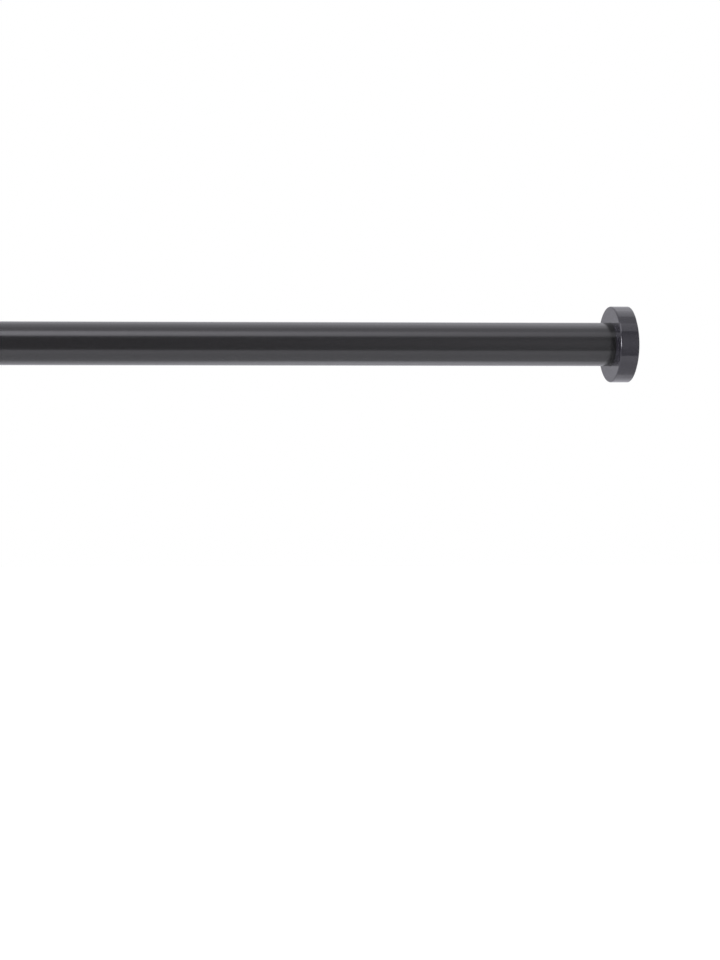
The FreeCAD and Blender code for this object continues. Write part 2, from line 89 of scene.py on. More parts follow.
def dress(tree, shader, look, toneBy, dullBy, bumps):
    # colour and roughness run between their two ends by a pattern, and the bumps lie on one another
    darkTone, paleTone = (linearColour(hexText) for hexText in look["colours"])
    tone = addNode(tree, "ShaderNodeMix", {0: toneBy, 6: darkTone, 7: paleTone}, data_type="RGBA")
    dull = addNode(tree, "ShaderNodeMapRange", {
        "Value": dullBy, "From Min": noiseSpan[0], "From Max": noiseSpan[1],
        "To Min": look["roughness"][0], "To Max": look["roughness"][1]})
    tree.links.new(tone.outputs[2], shader.inputs["Base Color"])
    tree.links.new(dull.outputs["Result"], shader.inputs["Roughness"])
    below = None
    for height, depthMm in bumps:
        bump = addNode(tree, "ShaderNodeBump", {"Height": height, "Distance": depthMm * mm})
        if below:
            tree.links.new(below, bump.inputs["Normal"])
        below = bump.outputs["Normal"]
    tree.links.new(below, shader.inputs["Normal"])


def perMetre(sizeMm):
    # pattern scale for a feature of that size
    return 1000.0 / sizeMm


# satin powder coat on drawn aluminium tube: stoved polyester powder, so a black skin with a soft sheen
# and a shallow orange peel that blurs the edges of reflections a little

tubeCoat = {
    "ior": 1.5,
    "colours": ("#151515", "#191919"),
    "roughness": (0.19, 0.23),
    "peelMm": 2.2,
    "peelDepthMm": 0.004,
    "grainMm": 0.35,
    "grainDepthMm": 0.0006,
}


def powderCoat():
    finish, tree, shader, place = newFinish("satin_powder_coat_stoved", {"IOR": tubeCoat["ior"]})
    peel = addNode(tree, "ShaderNodeTexNoise", {
        "Vector": place, "Scale": perMetre(tubeCoat["peelMm"]), "Detail": 2.0, "Roughness": 0.45})
    grain = addNode(tree, "ShaderNodeTexNoise", {
        "Vector": place, "Scale": perMetre(tubeCoat["grainMm"]), "Detail": 1.0, "Roughness": 0.5})
    dress(tree, shader, tubeCoat, grain.outputs["Fac"], peel.outputs["Fac"],
          [(peel.outputs["Fac"], tubeCoat["peelDepthMm"]), (grain.outputs["Fac"], tubeCoat["grainDepthMm"])])
    return finish


# high-gloss ABS from a polished mould: black with a slight violet cast, mirror-like, with the faint slow
# waviness that shrinking leaves in the skin

capMoulding = {
    "ior": 1.49,
    "colours": ("#1B1A1E", "#1F1E22"),
    "roughness": (0.07, 0.11),
    "waveMm": 9.0,
    "waveDepthMm": 0.004,
    "flowMm": 3.0,
}


def glossAbs():
    finish, tree, shader, place = newFinish("abs_black_polished_mould", {"IOR": capMoulding["ior"]})
    wave = addNode(tree, "ShaderNodeTexNoise", {
        "Vector": place, "Scale": perMetre(capMoulding["waveMm"]), "Detail": 1.0, "Roughness": 0.4})
    flow = addNode(tree, "ShaderNodeTexNoise", {
        "Vector": place, "Scale": perMetre(capMoulding["flowMm"]), "Detail": 3.0, "Distortion": 0.8})
    dress(tree, shader, capMoulding, flow.outputs["Fac"], flow.outputs["Fac"],
          [(wave.outputs["Fac"], capMoulding["waveDepthMm"])])
    return finish


# compression-moulded rubber: matt black, with a fine grain from the blasted mould and a faint grey bloom

padRubber = {
    "ior": 1.5,
    "colours": ("#1A1A1B", "#2A2A2C"),
    "roughness": (0.6, 0.78),
    "grainMm": 0.45,
    "grainDepthMm": 0.02,
    "bloomMm": 7.0,
}


def mouldedRubber():
    finish, tree, shader, place = newFinish("rubber_black_compression_moulded", {"IOR": padRubber["ior"]})
    grain = addNode(tree, "ShaderNodeTexVoronoi", {
        "Vector": place, "Scale": perMetre(padRubber["grainMm"]), "Randomness": 1.0})
    bloom = addNode(tree, "ShaderNodeTexNoise", {
        "Vector": place, "Scale": perMetre(padRubber["bloomMm"]), "Detail": 4.0, "Roughness": 0.6})
    dress(tree, shader, padRubber, bloom.outputs["Fac"], bloom.outputs["Fac"],
          [(grain.outputs["Distance"], padRubber["grainDepthMm"])])
    return finish


# ABS from a spark-eroded mould: black with a fine even grain that spreads the light, so it stays a
# little greyer than the gloss parts

collarMoulding = {
    "ior": 1.52,
    "colours": ("#242425", "#2C2C2D"),
    "roughness": (0.34, 0.44),
    "pitMm": 0.3,  # the real pits are about 0.05 mm, drawn coarser so that they show
    "pitDepthMm": 0.012,
    "cloudMm": 5.0,
}


def erodedAbs():
    finish, tree, shader, place = newFinish("abs_black_spark_eroded_mould", {"IOR": collarMoulding["ior"]})
    pits = addNode(tree, "ShaderNodeTexNoise", {
        "Vector": place, "Scale": perMetre(collarMoulding["pitMm"]), "Detail": 2.0, "Roughness": 0.6})
    cloud = addNode(tree, "ShaderNodeTexNoise", {
        "Vector": place, "Scale": perMetre(collarMoulding["cloudMm"]), "Detail": 3.0})
    dress(tree, shader, collarMoulding, pits.outputs["Fac"], cloud.outputs["Fac"],
          [(pits.outputs["Fac"], collarMoulding["pitDepthMm"])])
    return finish


# natural acetal, injection moulded: milky white, waxy sheen, with faint flow marks

plugAcetal = {
    "ior": 1.48,
    "colours": ("#DEDBD1", "#ECEAE3"),
    "roughness": (0.32, 0.42),
    "flowMm": 4.0,
    "skinMm": 0.8,
    "skinDepthMm": 0.006,
}


def milkyAcetal():
    finish, tree, shader, place = newFinish("acetal_natural_moulded", {"IOR": plugAcetal["ior"]})
    flow = addNode(tree, "ShaderNodeTexNoise", {
        "Vector": place, "Scale": perMetre(plugAcetal["flowMm"]), "Detail": 3.0, "Distortion": 1.2})
    skin = addNode(tree, "ShaderNodeTexNoise", {
        "Vector": place, "Scale": perMetre(plugAcetal["skinMm"]), "Detail": 2.0})
    dress(tree, shader, plugAcetal, flow.outputs["Fac"], flow.outputs["Fac"],
          [(skin.outputs["Fac"], plugAcetal["skinDepthMm"])])
    return finish


# glass-filled nylon, injection moulded: mid grey, with the pale flecks of fibre ends near the skin

sleeveNylon = {
    "ior": 1.53,
    "colours": ("#5E6166", "#7B7F85"),
    "roughness": (0.42, 0.56),
    "fibreMm": 0.25,  # the real fibres are 0.01 mm thick, drawn coarser so that they show
    "fibreStretch": 6.0,
    "fibreDepthMm": 0.008,
    "cloudMm": 6.0,
}


def filledNylon():
    finish, tree, shader, place = newFinish("nylon_grey_glass_filled_moulded", {"IOR": sleeveNylon["ior"]})
    flowWay = addNode(tree, "ShaderNodeMapping", {
        "Vector": place, "Scale": (1.0 / sleeveNylon["fibreStretch"], 1.0, 1.0)})
    fibre = addNode(tree, "ShaderNodeTexNoise", {
        "Vector": flowWay.outputs["Vector"], "Scale": perMetre(sleeveNylon["fibreMm"]), "Detail": 2.0})
    cloud = addNode(tree, "ShaderNodeTexNoise", {
        "Vector": place, "Scale": perMetre(sleeveNylon["cloudMm"]), "Detail": 3.0})
    dress(tree, shader, sleeveNylon, fibre.outputs["Fac"], cloud.outputs["Fac"],
          [(fibre.outputs["Fac"], sleeveNylon["fibreDepthMm"])])
    return finish


# turned brass, straight off the lathe: yellow metal with fine rings where the tool went round

coneBrass = {
    "colours": ("#B08D4C", "#CBA868"),
    "roughness": (0.2, 0.34),
    "ringMm": 0.3,  # the tool's feed is about 0.1 mm, drawn coarser so that it shows
    "ringDepthMm": 0.006,
}


def turnedBrass():
    finish, tree, shader, place = newFinish("brass_turned", {"Metallic": 1.0})
    along = addNode(tree, "ShaderNodeSeparateXYZ", {"Vector": place}).outputs["X"]
    ring = addNode(tree, "ShaderNodeTexNoise", {
        "W": along, "Scale": perMetre(coneBrass["ringMm"]), "Detail": 2.0}, noise_dimensions="1D")
    dress(tree, shader, coneBrass, ring.outputs["Fac"], ring.outputs["Fac"],
          [(ring.outputs["Fac"], coneBrass["ringDepthMm"])])
    return finish


# mild steel, zinc plated and clear passivated: cool bright grey with a slightly cloudy sheen

spindlePlating = {
    "colours": ("#A9AEB4", "#C6CACF"),
    "roughness": (0.24, 0.38),
    "cloudMm": 3.0,
    "grainMm": 0.3,
    "grainDepthMm": 0.003,
}


def zincPlate():
    finish, tree, shader, place = newFinish("steel_zinc_plated_clear", {"Metallic": 1.0})
    cloud = addNode(tree, "ShaderNodeTexNoise", {
        "Vector": place, "Scale": perMetre(spindlePlating["cloudMm"]), "Detail": 4.0, "Roughness": 0.6})
    grain = addNode(tree, "ShaderNodeTexNoise", {
        "Vector": place, "Scale": perMetre(spindlePlating["grainMm"]), "Detail": 2.0})
    dress(tree, shader, spindlePlating, cloud.outputs["Fac"], cloud.outputs["Fac"],
          [(grain.outputs["Fac"], spindlePlating["grainDepthMm"])])
    return finish


# hard-drawn spring wire under a film of oil: dark grey steel with streaks along the wire from the die

springWire = {
    "colours": ("#6B6B6E", "#8D8D90"),
    "roughness": (0.22, 0.4),
    "streaks": 9.0,  # across the wire, in unit-circle coordinates
    "streakMm": 25.0,
    "streakDepthMm": 0.006,
}


def drawnWire():
    finish, tree, shader, place = newFinish("spring_steel_drawn_oiled", {"Metallic": 1.0})
    around = addNode(tree, "ShaderNodeAttribute", attribute_name="wireRound").outputs["Vector"]
    along = addNode(tree, "ShaderNodeAttribute", attribute_name="wireLength").outputs["Fac"]
    far = addNode(tree, "ShaderNodeMath", {
        0: along, 1: perMetre(springWire["streakMm"]) / springWire["streaks"]}, operation="MULTIPLY")
    lift = addNode(tree, "ShaderNodeCombineXYZ", {"Z": far.outputs[0]})
    spot = addNode(tree, "ShaderNodeVectorMath", {0: around, 1: lift.outputs[0]}, operation="ADD")
    streak = addNode(tree, "ShaderNodeTexNoise", {
        "Vector": spot.outputs["Vector"], "Scale": springWire["streaks"], "Detail": 3.0})
    dress(tree, shader, springWire, streak.outputs["Fac"], streak.outputs["Fac"],
          [(streak.outputs["Fac"], springWire["streakDepthMm"])])
    return finish


# camera: the picture is 720 by 960, and the disc's inner face is centred 610 across and 345 down in it

photoView = {
    "pictureSize": (720, 960),
    "discFaceAt": (609.73, 344.72),
    "tubeWidth": 43.27,  # pixels, for 28 mm of tube at the disc
    "turn": -17.9,  # degrees to the left of square on, at the disc
    "roll": -0.06,
    "lens": 500.0,
    "sensor": 36.0,
    "clip": (0.05, 400.0),
}


def photoCamera():
    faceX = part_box("outer_wall_pad")[1].x - (capForm["padProud"] + capForm["flangeThickness"]) * mm
    discFace = Vector((faceX, 0, 0))
    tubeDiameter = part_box("outer_tube")[1].z * 2
    metresPerPixel = tubeDiameter / photoView["tubeWidth"]
    camera = bpy.data.objects.new("photoCamera", bpy.data.cameras.new("photoCamera"))
    scene.collection.objects.link(camera)
    camera.data.lens = photoView["lens"]
    camera.data.sensor_width = photoView["sensor"]
    width, height = photoView["pictureSize"]
    focalPixels = photoView["lens"] / camera.data.sensor_width * max(width, height)
    offX = photoView["discFaceAt"][0] - width / 2
    offY = height / 2 - photoView["discFaceAt"][1]
    # the disc is off the middle of the picture, so the camera's own turn is a little less than the disc's
    turn = math.radians(photoView["turn"]) + math.atan(offX / focalPixels)
    back = Vector((math.sin(turn), -math.cos(turn), 0))
    side = Vector((math.cos(turn), math.sin(turn), 0))
    distance = focalPixels * metresPerPixel
    camera.location = (discFace + back * distance - side * offX * metresPerPixel
                       - Vector((0, 0, 1)) * offY * metresPerPixel)
    spin = Matrix.Rotation(math.radians(photoView["roll"]), 4, "Z")
    camera.rotation_euler = ((-back).to_track_quat("-Z", "Y").to_matrix().to_4x4() @ spin).to_euler()
    camera.data.clip_start, camera.data.clip_end = photoView["clip"]
    scene.camera = camera
    print("camera:", round(distance, 2), "m away, turned", round(math.degrees(turn), 2))


# turned shapes: a section of (along, radius, rounding) corners is rounded and spun about the rod's axis

turning = {
    "segments": 192,
    "arcStep": 12.0,  # degrees between points on a rounded corner
    "holdMm": 0.12,  # rings beside a corner that keep the flats flat
    "holdShare": 0.25,  # and the most that they take of a short flat
    "sharpAngle": 38.0,
    "tinyMm": 1e-6,
}


def roundedSection(corners, closed):
    arcs = []
    count = len(corners)
    for i, (along, radius, rounding) in enumerate(corners):
        here = Vector((along, radius))
        atEnd = not closed and i in (0, count - 1)
        if atEnd or rounding <= 0:
            arcs.append([here])
            continue
        before = Vector(corners[i - 1][:2]) - here
        after = Vector(corners[(i + 1) % count][:2]) - here
        before.normalize()
        after.normalize()
        half = before.angle(after) / 2
        centre = here + (before + after).normalized() * (rounding / math.sin(half))
        first = here + before * (rounding / math.tan(half)) - centre
        last = here + after * (rounding / math.tan(half)) - centre
        sweep = first.angle_signed(last)
        steps = max(2, math.ceil(abs(math.degrees(sweep)) / turning["arcStep"]))
        arcs.append([centre + Matrix.Rotation(-sweep * k / steps, 2) @ first for k in range(steps + 1)])
    section = []
    for i, arc in enumerate(arcs):
        section.extend(arc)
        if i == count - 1 and not closed:
            break
        start, end = arc[-1], arcs[(i + 1) % count][0]
        run = (end - start).length
        hold = min(turning["holdMm"], run * turning["holdShare"])
        if run > turning["tinyMm"]:
            section.append(start + (end - start) * (hold / run))
            section.append(end - (end - start) * (hold / run))
    return section


def ringOfPoints(shape, along, radius, segments):
    # radius is a number or a rule that gives it by angle from the top; 0 makes one point on the axis
    byAngle = callable(radius)
    if not byAngle and radius < turning["tinyMm"]:
        return [shape.verts.new((along * mm, 0, 0))]
    ring = []
    for k in range(segments):
        angle = 2 * math.pi * k / segments
        reach = (radius(angle) if byAngle else radius) * mm
        ring.append(shape.verts.new((along * mm, reach * math.sin(angle), reach * math.cos(angle))))
    return ring


def skinRings(shape, rings, segments, closed):
    pairs = list(zip(rings, rings[1:]))
    if closed:
        pairs.append((rings[-1], rings[0]))
    for ringA, ringB in pairs:
        for k in range(segments):
            n = (k + 1) % segments
            if len(ringA) == 1:
                shape.faces.new((ringA[0], ringB[k], ringB[n]))
            elif len(ringB) == 1:
                shape.faces.new((ringA[k], ringB[0], ringA[n]))
            else:
                shape.faces.new((ringA[k], ringB[k], ringB[n], ringA[n]))


def spinSection(name, corners, closed=True):
    # mesh in metres about the X axis; an open section starts and ends on the axis
    segments = turning["segments"]
    shape = bmesh.new()
    rings = [ringOfPoints(shape, point.x, point.y, segments) for point in roundedSection(corners, closed)]
    skinRings(shape, rings, segments, closed)
    return finishMesh(name, shape)


def finishMesh(name, shape):
    bmesh.ops.recalc_face_normals(shape, faces=shape.faces)
    mesh = bpy.data.meshes.new(name)
    shape.to_mesh(mesh)
    shape.free()
    mesh.shade_smooth()
    mesh.set_sharp_from_angle(angle=math.radians(turning["sharpAngle"]))
    piece = bpy.data.objects.new(name, mesh)
    scene.collection.objects.link(piece)
    return piece


def fitPiece(piece, finish, body, node):
    # the finish, the body it moves with and the node it stands for
    piece.data.materials.clear()
    piece.data.materials.append(finish)
    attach(piece, body)
    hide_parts(node)


# ribs moulded round an axis: a bar with rounded corners, repeated about X and joined to what comes in

def newTree(name, inputs):
    tree = bpy.data.node_groups.new(name, "GeometryNodeTree")
    tree.interface.new_socket(name="Geometry", in_out="INPUT", socket_type="NodeSocketGeometry")
    for label, kind in inputs:
        tree.interface.new_socket(name=label, in_out="INPUT", socket_type="NodeSocket" + kind)
    tree.interface.new_socket(name="Geometry", in_out="OUTPUT", socket_type="NodeSocketGeometry")
    return tree, addNode(tree, "NodeGroupInput").outputs


def ribTree():
    tree, given = newTree("mouldedRibs", [
        ("Count", "Int"), ("From", "Vector"), ("To", "Vector"), ("Width", "Float"), ("Depth", "Float"),
        ("Corner", "Float"), ("Corner Steps", "Int"), ("Finish", "Material")])
    bar = addNode(tree, "GeometryNodeCurvePrimitiveLine", {"Start": given["From"], "End": given["To"]})
    box = addNode(tree, "GeometryNodeCurvePrimitiveQuadrilateral", {
        "Width": given["Width"], "Height": given["Depth"]})
    soft = addNode(tree, "GeometryNodeFilletCurve", {
        "Curve": box.outputs["Curve"], "Count": given["Corner Steps"],
        "Radius": given["Corner"]}, mode="POLY")
    rib = addNode(tree, "GeometryNodeCurveToMesh", {
        "Curve": bar.outputs["Curve"], "Profile Curve": soft.outputs["Curve"], "Fill Caps": True})
    spots = addNode(tree, "GeometryNodeMeshLine", {"Count": given["Count"], "Offset": (0.0, 0.0, 0.0)})
    index = addNode(tree, "GeometryNodeInputIndex")
    step = addNode(tree, "ShaderNodeMath", {0: 2 * math.pi, 1: given["Count"]}, operation="DIVIDE")
    turn = addNode(tree, "ShaderNodeMath", {0: index.outputs[0], 1: step.outputs[0]}, operation="MULTIPLY")
    about = addNode(tree, "ShaderNodeCombineXYZ", {"X": turn.outputs[0]})
    ring = addNode(tree, "GeometryNodeInstanceOnPoints", {
        "Points": spots.outputs["Mesh"], "Instance": rib.outputs["Mesh"], "Rotation": about.outputs[0]})
    joined = addNode(tree, "GeometryNodeJoinGeometry")
    tree.links.new(given["Geometry"], joined.inputs["Geometry"])
    tree.links.new(ring.outputs["Instances"], joined.inputs["Geometry"])
    whole = addNode(tree, "GeometryNodeRealizeInstances", {"Geometry": joined.outputs["Geometry"]})
    dressed = addNode(tree, "GeometryNodeSetMaterial", {
        "Geometry": whole.outputs["Geometry"], "Material": given["Finish"]})
    addNode(tree, "NodeGroupOutput", {"Geometry": dressed.outputs["Geometry"]})
    return tree


def applyTree(piece, tree, inputs):
    # one modifier, its inputs set by identifier
    modifier = piece.modifiers.new(tree.name, "NODES")
    modifier.node_group = tree
    for item in tree.interface.items_tree:
        if item.in_out == "INPUT" and item.name in inputs:
            modifier[item.identifier] = inputs[item.name]


def bakeModifiers(piece):
    bpy.context.view_layer.update()
    evaluated = piece.evaluated_get(bpy.context.evaluated_depsgraph_get())
    mesh = bpy.data.meshes.new_from_object(evaluated)
    piece.modifiers.clear()
    old = piece.data
    piece.data = mesh
    mesh.name = piece.name
    bpy.data.meshes.remove(old)


# end caps: a cored disc with a socket for the tube, a hollow plug, webs behind the face and crush ribs

capForm = {
    "diameter": 49.0,
    "flangeThickness": 12.2,
    "padProud": 1.0,
    "padInset": 2.0,
    "rimWall": 2.4,
    "plate": 3.0,
    "bossWall": 3.0,
    "seat": 4.0,
    "plugLength": 24.0,
    "plugWall": 2.0,
    "plugGap": 0.3,
    "plugLead": 1.0,
    "fit": 0.05,
    "faceRound": 0.8,
    "backRound": 0.4,
    "smallRound": 0.15,
    "webs": 6,
    "webThickness": 1.6,
    "webCorner": 0.25,
    "ribs": 6,
    "ribWidth": 1.2,
    "ribCorner": 0.22,
    "cornerSteps": 3,
    "sink": 0.15,  # how far webs and ribs reach into what they grow from
}


def aboveAxis(along, radius):
    return (along * mm, 0.0, radius * mm)


def endCap(name, tubeRadius, wallX, leftHand, finish):
    tubeBore = tubeRadius - tubeForm["wall"]
    back = -capForm["padProud"]
    face = back - capForm["flangeThickness"]
    shelf = back - capForm["padInset"]
    plateBack = face + capForm["plate"]
    seat = face + capForm["seat"]
    plugEnd = face - capForm["plugLength"]
    disc = capForm["diameter"] / 2
    rim = disc - capForm["rimWall"]
    socket = tubeRadius + capForm["fit"]
    boss = socket + capForm["bossWall"]
    plugOut = tubeBore - capForm["plugGap"]
    plugIn = plugOut - capForm["plugWall"]
    lead = capForm["plugLead"]
    small = capForm["smallRound"]
    section = [
        (back, rim, small),
        (plateBack, rim, small),
        (plateBack, boss, small),
        (shelf, boss, small),
        (shelf, plugIn, small),
        (plugEnd, plugIn, small),
        (plugEnd, plugOut - lead, small),
        (plugEnd + lead, plugOut, small),
        (seat, plugOut, small),
        (seat, socket, small),
        (face, socket, small),
        (face, disc, capForm["faceRound"]),
        (back, disc, capForm["backRound"]),
    ]
    piece = spinSection(name, section)
    sink = capForm["sink"]
    webMiddle = (plateBack - sink + shelf) / 2
    # a rib that runs outwards has its width along the rod, one that runs along it has its width across
    applyTree(piece, mouldedRibs, {
        "Count": capForm["webs"],
        "From": aboveAxis(webMiddle, boss - sink),
        "To": aboveAxis(webMiddle, rim + sink),
        "Width": (shelf - plateBack + sink) * mm,
        "Depth": capForm["webThickness"] * mm,
        "Corner": capForm["webCorner"] * mm,
        "Corner Steps": capForm["cornerSteps"],
        "Finish": finish,
    })
    ribHigh = tubeBore - capForm["fit"]
    ribDeep = ribHigh - plugOut + capForm["plugWall"] / 2
    applyTree(piece, mouldedRibs, {
        "Count": capForm["ribs"],
        "From": aboveAxis(plugEnd + 2 * lead, ribHigh - ribDeep / 2),
        "To": aboveAxis(seat - sink, ribHigh - ribDeep / 2),
        "Width": capForm["ribWidth"] * mm,
        "Depth": ribDeep * mm,
        "Corner": capForm["ribCorner"] * mm,
        "Corner Steps": capForm["cornerSteps"],
        "Finish": finish,
    })
    bakeModifiers(piece)
    placeAtWall(piece, wallX, leftHand)
    return piece


def placeAtWall(piece, wallX, leftHand):
    # built with the wall at x = 0 and the tube towards -X; the left-hand end is turned round
    turn = Matrix.Rotation(math.pi, 4, "Z") if leftHand else Matrix.Identity(4)
    piece.data.transform(Matrix.Translation((wallX, 0, 0)) @ turn)


# wall pads: a rubber disc that stands proud of the cap's recess, with ring grooves in its wall face

padForm = {
    "edgeRound": 0.3,
    "backRound": 0.2,
    "land": 4.0,
    "grooves": 4,
    "grooveWidth": 1.4,
    "grooveDepth": 0.6,
    "grooveRound": 0.2,
}


def wallPad(name, wallX, leftHand):
    disc = capForm["diameter"] / 2 - capForm["rimWall"] - capForm["fit"]
    back = -capForm["padProud"] - capForm["padInset"]
    pitch = (disc - 2 * padForm["land"]) / padForm["grooves"]
    deep = -padForm["grooveDepth"]
    soft = padForm["grooveRound"]
    section = [(0, 0, 0)]
    for number in range(padForm["grooves"]):
        low = padForm["land"] + number * pitch + (pitch - padForm["grooveWidth"]) / 2
        high = low + padForm["grooveWidth"]
        section += [(0, low, soft), (deep, low, soft), (deep, high, soft), (0, high, soft)]
    section += [(0, disc, padForm["edgeRound"]), (back, disc, padForm["backRound"]), (back, 0, 0)]
    piece = spinSection(name, section, closed=False)
    placeAtWall(piece, wallX, leftHand)
    return piece


# tubes: drawn, cut and lightly deburred; the inner one has two rolled beads that hold the plugs in it

tubeForm = {
    "wall": 1.0,
    "deburr": 0.25,
    "edge": 0.05,
    "beadWidth": 3.0,
    "beadDepth": 0.8,
    "beadsFromHiddenEnd": (12.0, 124.1),
    "beadSteps": 10,
}


def drawnTube(name, node, beads):
    low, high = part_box(node)
    left, right = low.x / mm, high.x / mm
    outside = high.z / mm
    inside = outside - tubeForm["wall"]
    bevel, edge = tubeForm["deburr"], tubeForm["edge"]
    upper, lower = [], []
    half = tubeForm["beadWidth"] / 2
    bend = (half ** 2 + tubeForm["beadDepth"] ** 2) / (2 * tubeForm["beadDepth"])
    for fromEnd in sorted(beads, reverse=True):
        middle = right - fromEnd
        for k in range(tubeForm["beadSteps"] + 1):
            along = -half + 2 * half * k / tubeForm["beadSteps"]
            dip = math.sqrt(bend ** 2 - along ** 2) - (bend - tubeForm["beadDepth"])
            upper.append((middle + along, outside - dip, 0))
            lower.append((middle + along, inside - dip, 0))
    section = [(left, outside - bevel, edge), (left + bevel, outside, edge)] + upper
    section += [(right - bevel, outside, edge), (right, outside - bevel, edge)]
    section += [(right, inside, edge)] + lower[::-1] + [(left, inside, edge)]
    return spinSection(name, section)


# collar pressed over the outer tube's mouth, with a lip that the inner tube runs through

collarForm = {
    "length": 14.0,
    "wall": 1.4,
    "lip": 2.5,
    "round": 0.8,
    "lead": 0.5,
    "small": 0.1,
    "runGap": 0.1,
}


def mouthCollar(name):
    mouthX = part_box("outer_tube")[0].x / mm
    bore = outerRadius + capForm["fit"]
    outside = bore + collarForm["wall"]
    lipBore = innerRadius + collarForm["runGap"]
    left = mouthX - collarForm["lip"]
    right = mouthX + collarForm["length"]
    lead, small = collarForm["lead"], collarForm["small"]
    section = [
        (left, lipBore + lead, small),
        (left + lead, lipBore, small),
        (mouthX, lipBore, small),
        (mouthX, bore, small),
        (right, bore, small),
        (right, outside, collarForm["round"]),
        (left, outside, collarForm["round"]),
    ]
    return spinSection(name, section)


# spring: wire on a helix, one closed turn at each end, the ends ground flat

springForm = {
    "wire": 1.8,
    "coilRadius": 9.7,
    "closedPitch": 1.85,
    "closedTurns": 1,  # at each end
    "activeTurns": 7,
    "stepsPerTurn": 48,
    "stepsRound": 16,
    "travel": 30.0,
}


def springTree():
    tree, given = newTree("coilSpring", [
        ("Wire Radius", "Float"), ("Coil Radius", "Float"), ("Start", "Float"), ("End", "Float"),
        ("Closed Rise", "Float"), ("Closed Turns", "Float"), ("Active Turns", "Float"), ("Steps", "Int"),
        ("Steps Round", "Int"), ("Finish", "Material")])
    line = addNode(tree, "GeometryNodeCurvePrimitiveLine")
    wire = addNode(tree, "GeometryNodeResampleCurve", {
        "Curve": line.outputs["Curve"], "Count": given["Steps"]})
    share = addNode(tree, "GeometryNodeSplineParameter").outputs["Factor"]
    lastTurn = addNode(tree, "ShaderNodeMath", {
        0: given["Closed Turns"], 1: given["Active Turns"]}, operation="ADD")
    turns = addNode(tree, "ShaderNodeMath", {
        0: lastTurn.outputs[0], 1: given["Closed Turns"]}, operation="ADD")
    turn = addNode(tree, "ShaderNodeMath", {0: share, 1: turns.outputs[0]}, operation="MULTIPLY")
    angle = addNode(tree, "ShaderNodeMath", {0: turn.outputs[0], 1: 2 * math.pi}, operation="MULTIPLY")
    # the rise runs slowly over the closed turns and evenly between them
    openFrom = addNode(tree, "ShaderNodeMath", {
        0: given["Start"], 1: given["Closed Rise"]}, operation="ADD")
    openTo = addNode(tree, "ShaderNodeMath", {
        0: given["End"], 1: given["Closed Rise"]}, operation="SUBTRACT")
    firstRise = addNode(tree, "ShaderNodeMapRange", {
        "Value": turn.outputs[0], "From Min": 0.0, "From Max": given["Closed Turns"],
        "To Min": given["Start"], "To Max": openFrom.outputs[0]})
    openRise = addNode(tree, "ShaderNodeMapRange", {
        "Value": turn.outputs[0], "From Min": given["Closed Turns"], "From Max": lastTurn.outputs[0],
        "To Min": firstRise.outputs[0], "To Max": openTo.outputs[0]})
    wholeRise = addNode(tree, "ShaderNodeMapRange", {
        "Value": turn.outputs[0], "From Min": lastTurn.outputs[0], "From Max": turns.outputs[0],
        "To Min": openRise.outputs[0], "To Max": given["End"]})
    sine = addNode(tree, "ShaderNodeMath", {0: angle.outputs[0]}, operation="SINE")
    cosine = addNode(tree, "ShaderNodeMath", {0: angle.outputs[0]}, operation="COSINE")
    across = addNode(tree, "ShaderNodeMath", {
        0: sine.outputs[0], 1: given["Coil Radius"]}, operation="MULTIPLY")
    above = addNode(tree, "ShaderNodeMath", {
        0: cosine.outputs[0], 1: given["Coil Radius"]}, operation="MULTIPLY")
    below = addNode(tree, "ShaderNodeMath", {0: above.outputs[0], 1: -1.0}, operation="MULTIPLY")
    spot = addNode(tree, "ShaderNodeCombineXYZ", {
        "X": wholeRise.outputs[0], "Y": across.outputs[0], "Z": below.outputs[0]})
    coil = addNode(tree, "GeometryNodeSetPosition", {
        "Geometry": wire.outputs["Curve"], "Position": spot.outputs[0]})
    metres = addNode(tree, "GeometryNodeSplineParameter").outputs["Length"]
    measured = addNode(tree, "GeometryNodeStoreNamedAttribute", {
        "Geometry": coil.outputs["Geometry"], "Name": "wireLength", "Value": metres},
        data_type="FLOAT", domain="POINT")
    circle = addNode(tree, "GeometryNodeCurvePrimitiveCircle", {
        "Resolution": given["Steps Round"], "Radius": given["Wire Radius"]})
    here = addNode(tree, "GeometryNodeInputPosition").outputs[0]
    unit = addNode(tree, "ShaderNodeVectorMath", {0: here}, operation="NORMALIZE")
    rounded = addNode(tree, "GeometryNodeStoreNamedAttribute", {
        "Geometry": circle.outputs["Curve"], "Name": "wireRound", "Value": unit.outputs["Vector"]},
        data_type="FLOAT_VECTOR", domain="POINT")
    swept = addNode(tree, "GeometryNodeCurveToMesh", {
        "Curve": measured.outputs["Geometry"], "Profile Curve": rounded.outputs["Geometry"],
        "Fill Caps": True})
    # grinding: nothing stands past the two end planes
    whole = addNode(tree, "ShaderNodeSeparateXYZ", {
        "Vector": addNode(tree, "GeometryNodeInputPosition").outputs[0]})
    kept = addNode(tree, "ShaderNodeClamp", {
        "Value": whole.outputs["X"], "Min": given["Start"], "Max": given["End"]})
    flat = addNode(tree, "ShaderNodeCombineXYZ", {
        "X": kept.outputs[0], "Y": whole.outputs["Y"], "Z": whole.outputs["Z"]})
    ground = addNode(tree, "GeometryNodeSetPosition", {
        "Geometry": swept.outputs["Mesh"], "Position": flat.outputs[0]})
    solid = addNode(tree, "GeometryNodeRealizeInstances", {"Geometry": ground.outputs["Geometry"]})
    dressed = addNode(tree, "GeometryNodeSetMaterial", {
        "Geometry": solid.outputs["Geometry"], "Material": given["Finish"]})
    addNode(tree, "NodeGroupOutput", {"Geometry": dressed.outputs["Geometry"]})
    return tree


